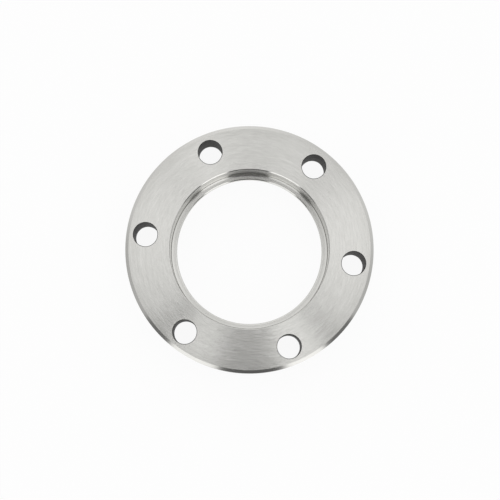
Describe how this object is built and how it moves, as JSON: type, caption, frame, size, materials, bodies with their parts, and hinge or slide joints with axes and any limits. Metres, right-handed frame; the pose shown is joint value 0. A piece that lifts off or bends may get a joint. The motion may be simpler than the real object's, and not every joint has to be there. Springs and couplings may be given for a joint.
{
  "type": "cf vacuum flange",
  "caption": "Round knife-edge vacuum flange with a ring of through bolt holes and a stepped central bore that takes a welded tube from the back.",
  "frame": {"origin": "centre of the sealing face, which is the side the flange rests on", "axes": "+Z along the bore from the sealing face to the tube side; +X through the first bolt hole"},
  "size_m": [0.0694, 0.0694, 0.0127],
  "materials": {
    "turned_steel": "fine turned stainless steel, satin, with concentric tool marks"
  },
  "bodies": {
    "root": {"flange": "turned_steel"}
  },
  "joints": []
}
